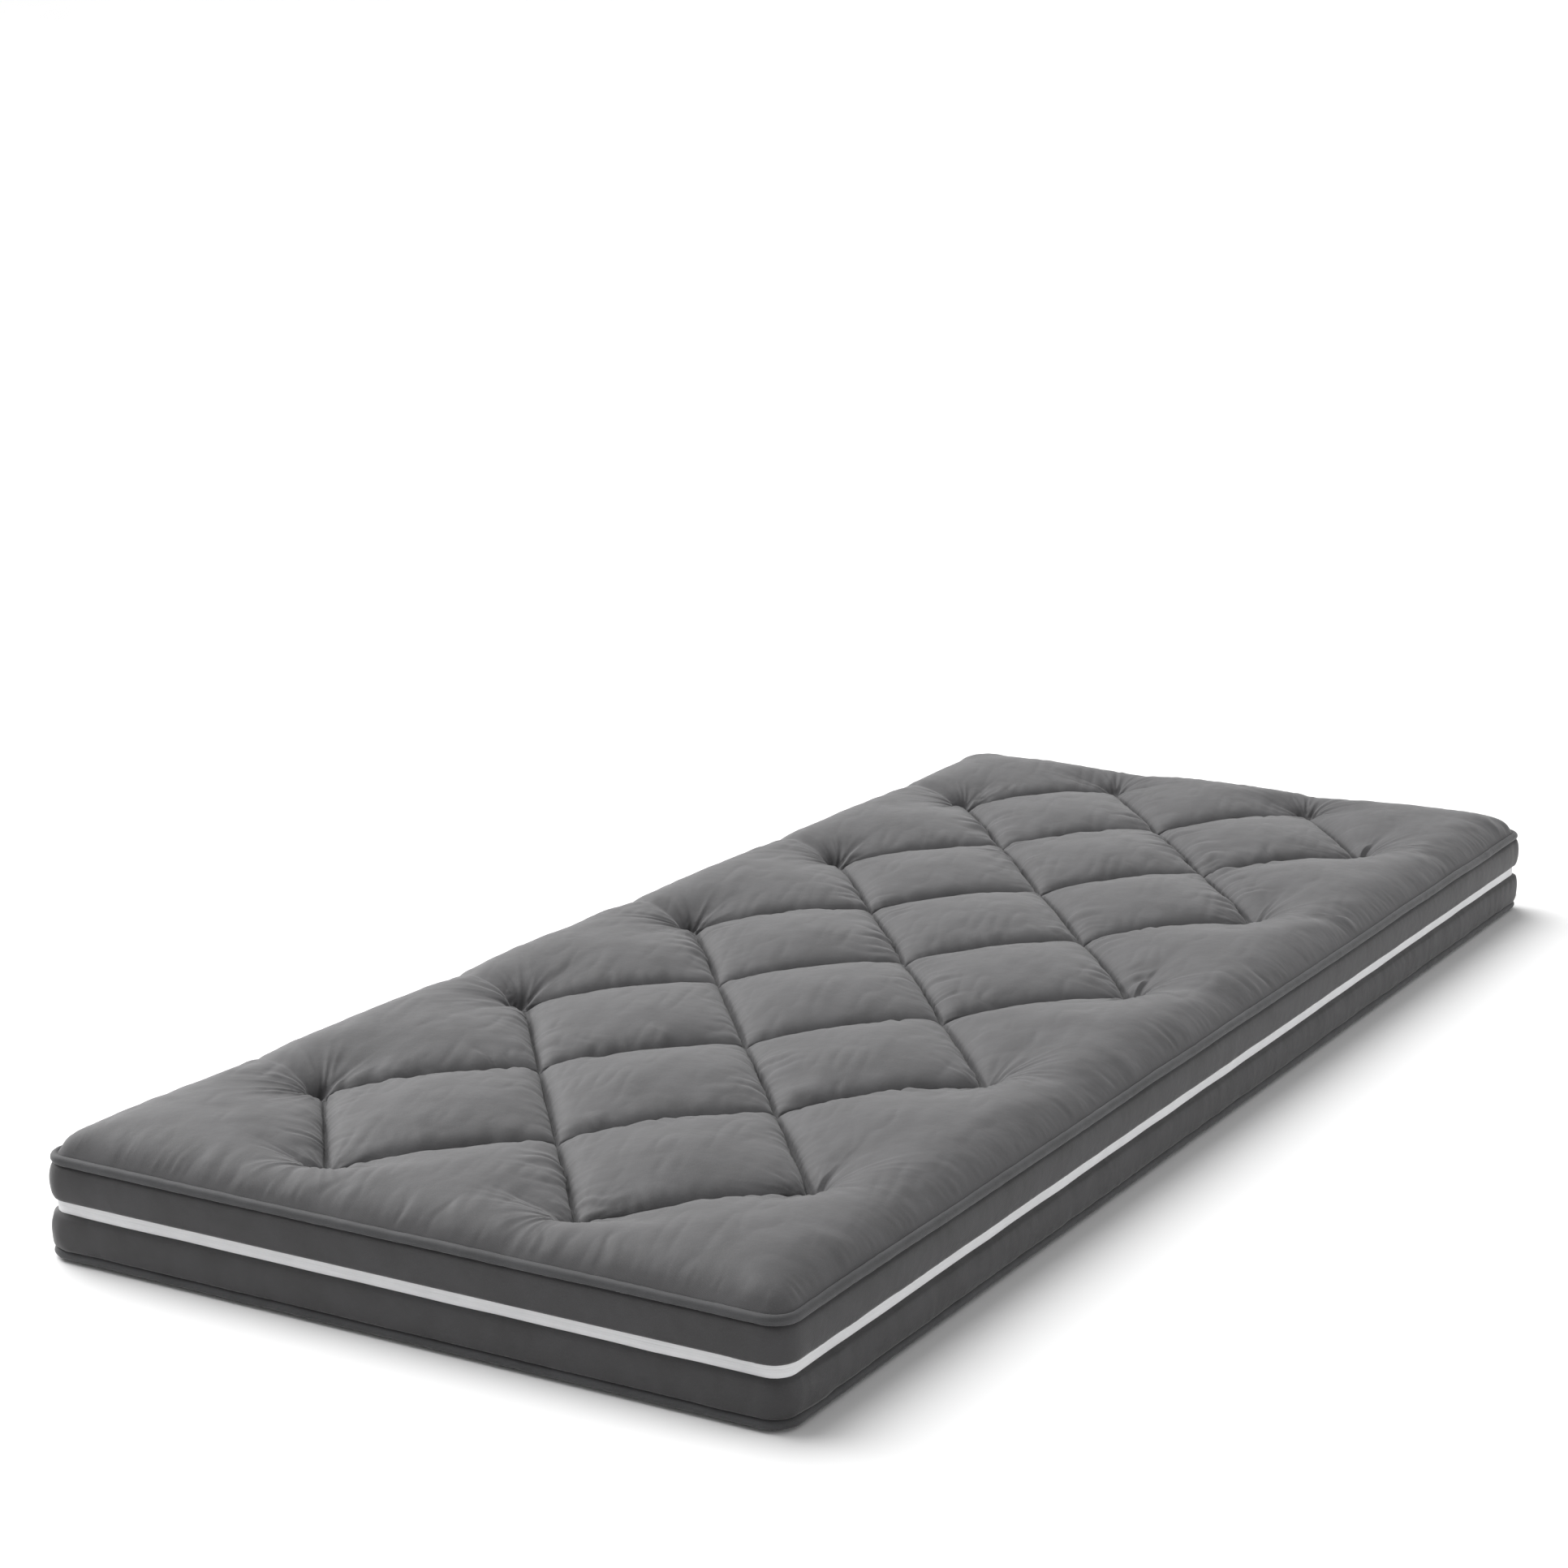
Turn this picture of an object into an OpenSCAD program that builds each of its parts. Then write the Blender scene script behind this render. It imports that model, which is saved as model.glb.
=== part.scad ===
// Roll-up futon mattress with its carry harness, in millimetres.
// X runs along the length, Y across the width and Z up.
// The origin is the centre of the underside, and the mattress lies flat.
// It rolls up towards its +X end, so it is cut into sections that hinge on each other
// close to the underside. Section 1 is the end that stays flat.

/* [Mattress] */
// Overall length
length = 1900; // [1700:10:2100]
// Overall width
width = 800; // [720:10:1000]
// Height of the seam between the side band and the top panel
seam_h = 98; // [80:1:120]
// Rise of the filled top panel above that seam
crown_h = 26; // [16:1:40]
// Radius of the corners in plan
corner_r = 26; // [20:1:60]

/* [Cover] */
// Radius of the covered piping cord
piping_r = 4.8; // [4:0.1:7]
// Thickness of the side band with its backing
band_t = 4; // [2:0.5:5]
// Height of the zip tape
zip_h = 10; // [10:1:20]
// Thickness of the zip tape
zip_t = 2; // [1:0.5:3]
// Length of zip that turns the corner onto the plain long side
zip_turn = 100; // [60:10:200]

/* [Rolling] */
// Length of the section that stays flat
flat_length = 290; // [250:10:340]

/* [Harness] */
// Width of the strap webbing
strap_w = 25; // [20:1:30]
// Thickness of the strap webbing
strap_t = 1.6; // [1.2:0.1:1.8]
// Width of the handle webbing
handle_w = 38; // [30:1:50]
// Rise of the handle above the straps
handle_rise = 55; // [40:1:60]
// Distance from the end of the mattress to the middle of the harness
harness_gap = 45; // [45:5:100]

/* [Hidden] */
$fn = 48;
SECTIONS = 8;
SIDES = ["a", "b"];

// Colours
FABRIC = [0.30, 0.30, 0.31];
FABRIC_TOP = [0.36, 0.36, 0.37];
PIPING = [0.26, 0.26, 0.27];
FOAM = [0.93, 0.91, 0.84];
TAPE = [0.92, 0.92, 0.92];
WEBBING = [0.06, 0.06, 0.07];
PLASTIC = [0.10, 0.10, 0.11];

// Mattress levels and insets from the outline of the piping
half_l = length / 2;
half_w = width / 2;
foot_seam = 7;                       // height of the lower piping's centre
panel_inset = 2 * piping_r + 0.2;    // panels end just inside the piping
band_inset = 2;
core_inset = band_inset + band_t;
core_z0 = foot_seam + piping_r;      // foam lies between the two pipings
core_z1 = seam_h - piping_r;
zip_z = (foot_seam + seam_h) / 2;    // the zip runs halfway up the side
zip_face = 3.8;                      // inset of the zip tape's outer face
plain_half = half_l - zip_turn;      // half length of the side with no zip

// Sections
slit = 0.6;                          // gap between neighbouring sections
section_l = (length - flat_length) / (SECTIONS - 1);
spill = 20;                          // how far the end sections' cutters reach out
function section_x0(k) = half_l - flat_length - (k - 1) * section_l;
function section_x1(k) = k == 1 ? half_l : section_x0(k - 1);

// Zip slider, parked at the zip's +Y end on the flat end of the mattress
slider_y = half_w - 60;
slider_l = 14;
slider_h = 9;
slider_t = 3.2;
slider_x = half_l - zip_face + 0.3;  // just clear of the tape
pull_pin_r = 1.1;
pull_pin_x = slider_x + slider_t + 2.8;
pull_l = 27;
pull_w = 7.5;
pull_t = 1.6;

// Harness levels: three folded layers of webbing with the buckled run on top
harness_x = half_l + harness_gap;
harness_y = 12;
layer_z = [1.0, 3.2, 5.4];
loop_r = 2.6;                        // mean radius of webbing round a bar
bar_r = 1.5;
buckle_z = 13;                       // height of the buckle's middle
run_z = buckle_z - loop_r;
tail_z = buckle_z + loop_r;
fold_in_y = 30;
fold_out_y = 380;
socket_bar_y = 262;
plug_bar_y = 338;
tail_end_y = 212;
adjuster_y = 236;
pad_y = [160, 205];                  // where the handle is sewn to a strap
handle_t = 2;
handle_z = run_z + strap_t / 2 + 0.05;
handle_r = (pow(pad_y[0], 2) + pow(handle_rise, 2)) / (2 * handle_rise);

buckle_w = 34;
buckle_t = 10;
socket_y = [267, 321];
window_y = [289, 305];
arm_clear = 0.5;

// ---- shapes shared by several parts ----

// Rounded outline of the mattress, drawn in by inset
module plan(inset) {
    r = corner_r - inset;
    square([length - 2 * inset, width - 2 * corner_r], center = true);
    square([length - 2 * corner_r, width - 2 * inset], center = true);
    for (sx = [-1, 1], sy = [-1, 1])
        translate([sx * (half_l - corner_r), sy * (half_w - corner_r)]) circle(r);
}

module slab(inset, z0, z1) {
    translate([0, 0, z0]) linear_extrude(z1 - z0) plan(inset);
}

// A wall that follows the outline
module wall(inset, thickness, z0, z1) {
    difference() {
        slab(inset, z0, z1);
        slab(inset + thickness, z0 - 1, z1 + 1);
    }
}

// Keeps the stretch of its children that belongs to section k
module section(k) {
    x0 = section_x0(k) + (k == SECTIONS ? -spill : slit / 2);
    x1 = section_x1(k) + (k == 1 ? spill : -slit / 2);
    intersection() {
        children();
        translate([x0, -width, -spill]) cube([x1 - x0, 2 * width, seam_h + crown_h + 2 * spill]);
    }
}

// The stretch of the +Y side that has no zip
module plain_side(z0, z1, reach) {
    translate([-plain_half, half_w - reach, z0]) cube([2 * plain_half, reach + 1, z1 - z0]);
}

// Crowned outline of the top panel, steep at its edges and nearly flat in the middle
module crown_profile(half) {
    steps = 12;
    rise = seam_h + crown_h - core_z1;
    points = [for (i = [0:2 * steps])
        let (a = 90 * i / steps)
        [sign(cos(a)) * half * sqrt(abs(cos(a))), rise * sqrt(abs(sin(a)))]];
    polygon(points);
}

// ---- mattress ----

module foam_core(k) {
    color(FOAM) section(k) slab(core_inset, core_z0, core_z1);
}

module bottom_panel(k) {
    color(FABRIC) section(k) slab(panel_inset, 0, core_z0);
}

module top_panel(k) {
    color(FABRIC_TOP) section(k) translate([0, 0, core_z1]) intersection() {
        linear_extrude(2 * crown_h) plan(panel_inset);
        rotate([90, 0, 90]) linear_extrude(length, center = true)
            crown_profile(half_w - panel_inset);
        rotate([90, 0, 0]) linear_extrude(width, center = true)
            crown_profile(half_l - panel_inset);
    }
}

// Two strips, above and below the zip, that become one on the plain side
module side_band(k) {
    zip_lo = zip_z - zip_h / 2;
    zip_hi = zip_z + zip_h / 2;
    color(FABRIC) section(k) {
        wall(band_inset, band_t, core_z0, zip_lo);
        wall(band_inset, band_t, zip_hi, core_z1);
        intersection() {
            wall(band_inset, band_t, zip_lo - 0.01, zip_hi + 0.01);
            plain_side(zip_lo - 1, zip_hi + 1, core_inset + 1);
        }
    }
}

module zip(k) {
    color(TAPE) section(k) difference() {
        wall(zip_face, zip_t, zip_z - zip_h / 2 + 0.1, zip_z + zip_h / 2 - 0.1);
        plain_side(zip_z - zip_h, zip_z + zip_h, core_inset);
    }
}

module piping_loop() {
    for (sy = [-1, 1])
        translate([-half_l + corner_r, sy * (half_w - piping_r), 0])
            rotate([0, 90, 0]) cylinder(h = length - 2 * corner_r, r = piping_r);
    for (sx = [-1, 1])
        translate([sx * (half_l - piping_r), -half_w + corner_r, 0])
            rotate([-90, 0, 0]) cylinder(h = width - 2 * corner_r, r = piping_r);
    for (turn = [0:3]) {
        sx = turn == 0 || turn == 3 ? 1 : -1;
        sy = turn < 2 ? 1 : -1;
        translate([sx * (half_l - corner_r), sy * (half_w - corner_r), 0])
            rotate([0, 0, 90 * turn]) rotate_extrude(angle = 90)
                translate([corner_r - piping_r, 0]) circle(piping_r);
    }
}

module piping(k) {
    color(PIPING) section(k) {
        translate([0, 0, foot_seam]) piping_loop();
        translate([0, 0, seam_h]) piping_loop();
    }
}

module zip_slider() {
    ear_t = 1.4;
    color(TAPE) translate([slider_x, slider_y, zip_z]) {
        translate([0, -slider_l / 2, -slider_h / 2]) cube([slider_t, slider_l, slider_h]);
        for (s = [-1, 1])
            translate([slider_t - 0.1, s * (slider_l / 2 - ear_t / 2) - ear_t / 2, -2])
                cube([4, ear_t, 4]);
        translate([pull_pin_x - slider_x, -slider_l / 2 + 0.2, 0])
            rotate([-90, 0, 0]) cylinder(h = slider_l - 0.4, r = pull_pin_r);
    }
}

module zip_pull() {
    eye_r = pull_pin_r + 1.5;
    color(TAPE) translate([pull_pin_x, slider_y, zip_z]) difference() {
        union() {
            rotate([90, 0, 0]) cylinder(h = pull_w, r = eye_r, center = true);
            translate([0, -pull_w / 2, -pull_l]) cube([pull_t, pull_w, pull_l]);
        }
        rotate([90, 0, 0]) cylinder(h = pull_w + 2, r = pull_pin_r + 0.1, center = true);
    }
}

// ---- carry harness ----
// A strap is drawn in the Y-Z plane on the +Y side; side b is its mirror image.

module on_side(side) {
    translate([harness_x, harness_y, 0]) mirror([0, side == "b" ? 1 : 0, 0]) children();
}

// Extrudes a Y-Z outline along X, centred on the harness
module web(w) {
    rotate([90, 0, 90]) linear_extrude(w, center = true) children();
}

module run(y0, y1, z) {
    translate([y0, z - strap_t / 2]) square([y1 - y0, strap_t]);
}

// Half turn of webbing from z0 up to z1 that bulges towards dir
module fold(y, z0, z1, dir) {
    r = (z1 - z0) / 2;
    reach = r + strap_t;
    translate([y, (z0 + z1) / 2]) difference() {
        circle(r + strap_t / 2);
        circle(r - strap_t / 2);
        translate([dir > 0 ? -reach : 0, -reach]) square([reach, 2 * reach]);
    }
}

module strap(side) {
    inner = 8;    // how far the middle layers stop short of the outer fold
    color(WEBBING) on_side(side) web(strap_w) {
        run(tail_end_y, socket_bar_y, tail_z);
        fold(socket_bar_y, run_z, tail_z, 1);
        run(fold_in_y, socket_bar_y, run_z);
        fold(fold_in_y, layer_z[2], run_z, -1);
        run(fold_in_y, fold_out_y - inner, layer_z[2]);
        fold(fold_out_y - inner, layer_z[1], layer_z[2], 1);
        run(fold_in_y, fold_out_y - inner, layer_z[1]);
        fold(fold_in_y, layer_z[0], layer_z[1], -1);
        run(fold_in_y, fold_out_y, layer_z[0]);
        fold(fold_out_y, layer_z[0], run_z, 1);
        run(plug_bar_y, fold_out_y, run_z);
        fold(plug_bar_y, run_z, tail_z, 1);
        fold(plug_bar_y, run_z, tail_z, -1);
    }
}

// Two lugs and the round bar that the webbing goes round
module webbing_bar(bar_y, body_y) {
    lug_t = (buckle_w - strap_w) / 2 - 1;
    y0 = min(bar_y - 3, body_y);
    y1 = max(bar_y + 3, body_y);
    for (s = [-1, 1])
        translate([s * (buckle_w - lug_t) / 2, (y0 + y1) / 2, buckle_z])
            cube([lug_t, y1 - y0, 6], center = true);
    translate([0, bar_y, buckle_z]) rotate([0, 90, 0])
        cylinder(h = buckle_w - 1, r = bar_r, center = true);
}

module buckle_socket(side) {
    wall_t = 2;
    mid = (socket_y[0] + socket_y[1]) / 2;
    color(PLASTIC) on_side(side) {
        difference() {
            translate([0, mid, buckle_z])
                cube([buckle_w, socket_y[1] - socket_y[0], buckle_t], center = true);
            translate([0, mid + 3, buckle_z])
                cube([buckle_w - 2 * wall_t, socket_y[1] - socket_y[0], buckle_t - 2 * wall_t],
                    center = true);
            for (s = [-1, 1])
                translate([s * buckle_w / 2, (window_y[0] + window_y[1]) / 2, buckle_z])
                    cube([10, window_y[1] - window_y[0], buckle_t - 2 * wall_t], center = true);
        }
        webbing_bar(socket_bar_y, socket_y[0] + 1);
    }
}

module buckle_plug(side) {
    arm_w = 4;
    arm_t = buckle_t - 4 - 2 * arm_clear;
    arm_x = buckle_w / 2 - 2 - arm_clear - arm_w / 2;
    base_y = [socket_y[1] + 0.4, plug_bar_y - 5];
    tip_y = window_y[0] + 0.5;
    color(PLASTIC) on_side(side) {
        translate([0, (base_y[0] + base_y[1]) / 2, buckle_z])
            cube([buckle_w, base_y[1] - base_y[0], buckle_t - 1], center = true);
        for (s = [-1, 1]) {
            translate([s * arm_x, (tip_y + base_y[0]) / 2, buckle_z])
                cube([arm_w, base_y[0] - tip_y + 1, arm_t], center = true);
            // latch head, flush with the outside of the window
            translate([s * (buckle_w / 2 - 3), (tip_y + window_y[1]) / 2, buckle_z])
                cube([6, window_y[1] - tip_y - arm_clear, arm_t], center = true);
        }
        translate([0, (tip_y + base_y[0]) / 2, buckle_z])
            cube([5, base_y[0] - tip_y + 1, arm_t], center = true);
        webbing_bar(plug_bar_y, base_y[1] - 1);
    }
}

// Frame whose middle bar lies between the run and the tail, and whose outer bars lie on top
module strap_adjuster(side) {
    frame_l = 20;
    rail_t = 2.4;
    rail_x = strap_w / 2 + 0.8 + rail_t / 2;
    bar_t = 2;
    top_z = tail_z + strap_t / 2 + 0.2;
    mid_z = (run_z + tail_z) / 2;
    color(PLASTIC) on_side(side) {
        for (s = [-1, 1]) {
            translate([s * rail_x, adjuster_y, (mid_z - bar_t / 2 + top_z + bar_t) / 2])
                cube([rail_t, frame_l, top_z + 1.5 * bar_t - mid_z], center = true);
            translate([0, adjuster_y + s * (frame_l / 2 - 1.5), top_z + bar_t / 2])
                cube([2 * rail_x + rail_t, 3, bar_t], center = true);
        }
        translate([0, adjuster_y, mid_z]) cube([2 * rail_x, 3, bar_t], center = true);
    }
}

module carry_handle() {
    centre_z = handle_z + handle_rise - handle_r;
    color(WEBBING) translate([harness_x, harness_y, 0]) web(handle_w) {
        intersection() {
            translate([0, centre_z]) difference() {
                circle(handle_r + handle_t, $fn = 180);
                circle(handle_r, $fn = 180);
            }
            translate([-half_w, handle_z]) square([width, 2 * handle_rise]);
        }
        for (s = [-1, 1])
            translate([s > 0 ? pad_y[0] : -pad_y[1], handle_z])
                square([pad_y[1] - pad_y[0], handle_t]);
    }
}

// ---- the whole part ----

for (k = [1:SECTIONS]) {
    foam_core(k);
    top_panel(k);
    bottom_panel(k);
    side_band(k);
    piping(k);
    zip(k);
}
zip_slider();
zip_pull();
carry_handle();
for (side = SIDES) {
    strap(side);
    buckle_socket(side);
    buckle_plug(side);
    strap_adjuster(side);
}
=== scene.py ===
"""Futon mattress: quilted cover, piped seams, zipped side band and carry harness."""

import math

import bpy
import numpy as np
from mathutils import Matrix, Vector


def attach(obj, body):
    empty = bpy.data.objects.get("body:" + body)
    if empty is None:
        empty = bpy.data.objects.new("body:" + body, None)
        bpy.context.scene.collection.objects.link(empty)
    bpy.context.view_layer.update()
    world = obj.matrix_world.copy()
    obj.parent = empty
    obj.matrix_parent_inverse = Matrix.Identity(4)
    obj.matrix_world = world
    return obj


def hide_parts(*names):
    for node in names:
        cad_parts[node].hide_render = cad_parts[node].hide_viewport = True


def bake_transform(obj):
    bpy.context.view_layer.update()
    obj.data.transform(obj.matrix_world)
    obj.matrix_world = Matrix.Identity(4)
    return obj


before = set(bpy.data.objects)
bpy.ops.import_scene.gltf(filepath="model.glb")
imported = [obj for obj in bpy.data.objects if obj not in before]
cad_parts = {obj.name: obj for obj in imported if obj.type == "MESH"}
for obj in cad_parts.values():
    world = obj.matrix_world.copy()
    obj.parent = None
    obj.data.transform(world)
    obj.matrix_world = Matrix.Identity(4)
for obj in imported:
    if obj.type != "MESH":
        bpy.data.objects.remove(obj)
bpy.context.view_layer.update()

# The mattress, in metres, as in part.scad
HALF_L = 0.95
HALF_W = 0.4
CORNER = 0.026
PIPE_R = 0.0046
TOP_SEAM = 0.098
FOOT_SEAM = 0.007
ZIP_Z = 0.0525
ZIP_HALF = 0.005
PLAIN_HALF = 0.85

# The carry harness behind the +X end
HARNESS_X = 0.995
HARNESS_Y = 0.012
HANDLE_Z = 0.01225
HANDLE_FOOT = 0.16
HANDLE_RISE = 0.055
HANDLE_R = (HANDLE_FOOT ** 2 + HANDLE_RISE ** 2) / (2 * HANDLE_RISE)

# The roll: one hinge every 0.23 m
SECTION = 0.23
HINGES = [0.66 - SECTION * k for k in range(7)]

# Diamond quilting: half diagonals, and how many of them lie between the outermost stitches
DIAMOND_X = 0.1716
DIAMOND_Y = 0.1365
COLS = 5
ROWS = 2
STITCH_Z = 0.1010
QUILT_X = HALF_L - PIPE_R
QUILT_Y = HALF_W - PIPE_R
QUILT_CORNER = CORNER - PIPE_R
HALF_PITCH = 1 / math.hypot(1 / DIAMOND_X, 1 / DIAMOND_Y)
SIDE_OF_DIAMOND = math.hypot(DIAMOND_X, DIAMOND_Y)
CELLS = 16


# ---- meshes ----

def noise(u, v, seed):
    """Smooth values from -1 to 1 over a plane, the same on every run."""
    table = np.random.default_rng(seed).uniform(-1, 1, (128, 128))
    i = np.floor(u).astype(int)
    j = np.floor(v).astype(int)
    fu = u - i
    fv = v - j
    fu = fu * fu * (3 - 2 * fu)
    fv = fv * fv * (3 - 2 * fv)
    low = table[i % 128, j % 128] * (1 - fu) + table[(i + 1) % 128, j % 128] * fu
    high = table[i % 128, (j + 1) % 128] * (1 - fu) + table[(i + 1) % 128, (j + 1) % 128] * fu
    return low * (1 - fv) + high * fv


def vertex_normals(co, faces):
    cross = np.cross(co[faces[:, 1]] - co[faces[:, 0]], co[faces[:, 2]] - co[faces[:, 0]])
    if faces.shape[1] == 4:
        cross += np.cross(co[faces[:, 2]] - co[faces[:, 0]], co[faces[:, 3]] - co[faces[:, 0]])
    total = np.zeros_like(co)
    for corner in range(faces.shape[1]):
        np.add.at(total, faces[:, corner], cross)
    return total / np.maximum(np.linalg.norm(total, axis=1, keepdims=True), 1e-12)


def make_mesh(name, co, faces, material, normals=None, crease_shade=None):
    """A smooth mesh object from arrays, with the vertex normals and the painted crease shade given."""
    mesh = bpy.data.meshes.new(name)
    count, sides = faces.shape
    mesh.vertices.add(len(co))
    mesh.vertices.foreach_set("co", co.astype(np.float32).ravel())
    mesh.loops.add(count * sides)
    mesh.loops.foreach_set("vertex_index", faces.astype(np.int32).ravel())
    mesh.polygons.add(count)
    mesh.polygons.foreach_set("loop_start", np.arange(0, count * sides, sides, dtype=np.int32))
    mesh.polygons.foreach_set("use_smooth", np.ones(count, bool))
    mesh.update(calc_edges=True)
    if crease_shade is not None:
        # the seam attribute holds painted shade for the creases along the stitch lines
        layer = mesh.attributes.new("seam", "FLOAT", "POINT")
        layer.data.foreach_set("value", crease_shade.astype(np.float32))
    if normals is not None:
        mesh.normals_split_custom_set_from_vertices(normals.tolist())
    mesh.materials.append(material)
    piece = bpy.data.objects.new(name, mesh)
    bpy.context.scene.collection.objects.link(piece)
    return piece


def grid_faces(rows, cols, wrap_rows=False, wrap_cols=False):
    """Quads over a grid of rows x cols vertices, counted row by row."""
    last_row = rows if wrap_rows else rows - 1
    last_col = cols if wrap_cols else cols - 1
    i, j = np.meshgrid(np.arange(last_row), np.arange(last_col), indexing="ij")
    i2 = (i + 1) % rows
    j2 = (j + 1) % cols
    quads = np.stack([i * cols + j, i * cols + j2, i2 * cols + j2, i2 * cols + j], -1)
    return quads.reshape(-1, 4)


def lay_on_roll(name, co, faces, along, material, kind=None, crease_shade=None):
    """Cuts a layer of the mattress into one piece for each hinge."""
    normals = vertex_normals(co, faces)
    centre = along[faces].mean(axis=1)
    place = np.ceil((HINGES[0] - SECTION / 2 - centre) / SECTION)
    place = np.clip(place, 0, len(HINGES) - 1).astype(int)
    pieces = []
    for k, hinge in enumerate(HINGES):
        mine = faces[place == k]
        if len(mine) == 0:
            continue
        used, index = np.unique(mine, return_inverse=True)
        part_crease_shade = None if crease_shade is None else crease_shade[used]
        piece = make_mesh(
            f"{name}_{k + 1}", co[used], index.reshape(mine.shape), material,
            normals[used], part_crease_shade,
        )
        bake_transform(piece)
        if kind:
            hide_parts(f"{kind}_{k + 1}")
            if k == len(HINGES) - 1:
                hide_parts(f"{kind}_{k + 1}", f"{kind}_{k + 2}")
        pieces.append(piece)
    return pieces


def outline(s):
    """Points on the mattress's rounded outline and its outward normals, at distances s round it."""
    a = HALF_L - CORNER
    b = HALF_W - CORNER
    bend = CORNER * math.pi / 2
    runs = np.array([a, bend, 2 * b, bend, 2 * a, bend, 2 * b, bend, a])
    starts = np.concatenate([[0], np.cumsum(runs)])
    base = np.array([[0, b], [a, b], [a, b], [a, -b], [a, -b], [-a, -b], [-a, -b], [-a, b], [-a, b]])
    heading = np.array([[1, 0], [0, 0], [0, -1], [0, 0], [-1, 0], [0, 0], [0, 1], [0, 0], [1, 0]])
    turned = np.array([90, 90, 0, 0, -90, -90, -180, -180, -270])
    s = np.mod(s, starts[-1])
    run = np.clip(np.searchsorted(starts, s, side="right") - 1, 0, 8)
    t = s - starts[run]
    angle = np.radians(turned[run]) - np.where(run % 2 == 1, t / CORNER, 0)
    normal = np.stack([np.cos(angle), np.sin(angle)], -1)
    point = base[run] + heading[run] * t[:, None] + CORNER * normal
    return point, normal


LOOP = 4 * (HALF_L + HALF_W - 2 * CORNER) + 2 * math.pi * CORNER


def loop_distances(step):
    count = int(round(LOOP / step))
    return np.arange(count) * LOOP / count


def sweep(s, out, z):
    """Grid of points: row i stands at distance s[i] round the outline, moved out and set at height z."""
    point, normal = outline(s)
    xy = point[:, None, :] + normal[:, None, :] * out[..., None]
    return np.concatenate([xy, z[..., None]], -1).reshape(-1, 3)


# ---- quilting ----

def diamond(x, y):
    """For each point: how far across its diamond it is from both families of stitch lines, 0 to 1."""
    p = np.abs(((x / DIAMOND_X + y / DIAMOND_Y) / 2 + 0.5) % 1 - 0.5) * 2
    q = np.abs(((x / DIAMOND_X - y / DIAMOND_Y) / 2 + 0.5) % 1 - 0.5) * 2
    return p, q


def quilt_lines(half, cells, step):
    """Grid lines along one axis: a whole number in each diamond, then evenly on to the edge."""
    inner_half = step * cells
    pitch = step / CELLS
    inner = np.arange(-cells * CELLS, cells * CELLS + 1) * pitch
    count = int(round((half - inner_half) / pitch))
    outer = inner_half + (half - inner_half) * np.arange(1, count + 1) / count
    return np.concatenate([-outer[::-1], inner, outer])


def round_corners(x, y):
    """Draws the corners of a rectangular grid in to the rounded outline."""
    a = (np.abs(x) - (QUILT_X - QUILT_CORNER)) / QUILT_CORNER
    b = (np.abs(y) - (QUILT_Y - QUILT_CORNER)) / QUILT_CORNER
    corner = (a > 0) & (b > 0)
    scale = np.where(corner, np.maximum(a, b) / np.maximum(np.hypot(a, b), 1e-9), 1)
    x2 = np.sign(x) * (QUILT_X - QUILT_CORNER + a * scale * QUILT_CORNER)
    y2 = np.sign(y) * (QUILT_Y - QUILT_CORNER + b * scale * QUILT_CORNER)
    return np.where(corner, x2, x), np.where(corner, y2, y)


def rises(x, y):
    """Whether the stitch line through this quarter of a diamond climbs in Y as X grows."""
    return (np.floor(x / DIAMOND_X) + np.floor(y / DIAMOND_Y)) % 2 == 0


def quilt_faces(xs, ys):
    """Triangles over the grid whose diagonals follow the stitch lines."""
    i, j = np.meshgrid(np.arange(len(xs) - 1), np.arange(len(ys) - 1), indexing="ij")
    a = (i * len(ys) + j).ravel()
    b = a + len(ys)
    c = b + 1
    d = a + 1
    x = (xs[i] + xs[i + 1]).ravel() / 2
    y = (ys[j] + ys[j + 1]).ravel() / 2
    right = rises(x, y)[:, None]
    first = np.where(right, np.stack([a, b, c], 1), np.stack([a, b, d], 1))
    second = np.where(right, np.stack([a, c, d], 1), np.stack([b, c, d], 1))
    return np.concatenate([first, second])


def refine(xs, ys, grid):
    """Halves the grid's pitch. New points on a stitch line are set between its own points."""
    fine_x = np.interp(np.arange(2 * len(xs) - 1) / 2, np.arange(len(xs)), xs)
    fine_y = np.interp(np.arange(2 * len(ys) - 1) / 2, np.arange(len(ys)), ys)
    fine = np.zeros((len(fine_x), len(fine_y), 3))
    fine[::2, ::2] = grid
    fine[1::2, ::2] = (grid[1:] + grid[:-1]) / 2
    fine[::2, 1::2] = (grid[:, 1:] + grid[:, :-1]) / 2
    middle_x, middle_y = np.meshgrid(fine_x[1::2], fine_y[1::2], indexing="ij")
    right = rises(middle_x, middle_y)[..., None]
    up = (grid[1:, 1:] + grid[:-1, :-1]) / 2
    down = (grid[1:, :-1] + grid[:-1, 1:]) / 2
    fine[1::2, 1::2] = np.where(right, up, down)
    return fine_x, fine_y, fine


def smooth(grid, held, times):
    """Evens out the grid, away from its rim and the points held."""
    for _ in range(times):
        near = grid[2:, 1:-1] + grid[:-2, 1:-1] + grid[1:-1, 2:] + grid[1:-1, :-2]
        inner = grid[1:-1, 1:-1]
        grid[1:-1, 1:-1] = np.where(held[1:-1, 1:-1, None], inner, inner / 2 + near / 8)
    return grid


def quilt_plan(xs, ys):
    """Plan coordinates, shares across the diamond, stitched points and distance from the rim."""
    x, y = np.meshgrid(xs, ys, indexing="ij")
    p, q = diamond(x, y)
    inside = (np.abs(x) < COLS * DIAMOND_X + 1e-5) & (np.abs(y) < ROWS * DIAMOND_Y + 1e-5)
    stitched = inside & (np.minimum(p, q) < 1e-4)
    rim = np.minimum(QUILT_X - np.abs(x), QUILT_Y - np.abs(y))
    return x, y, p, q, inside, stitched, rim


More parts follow.
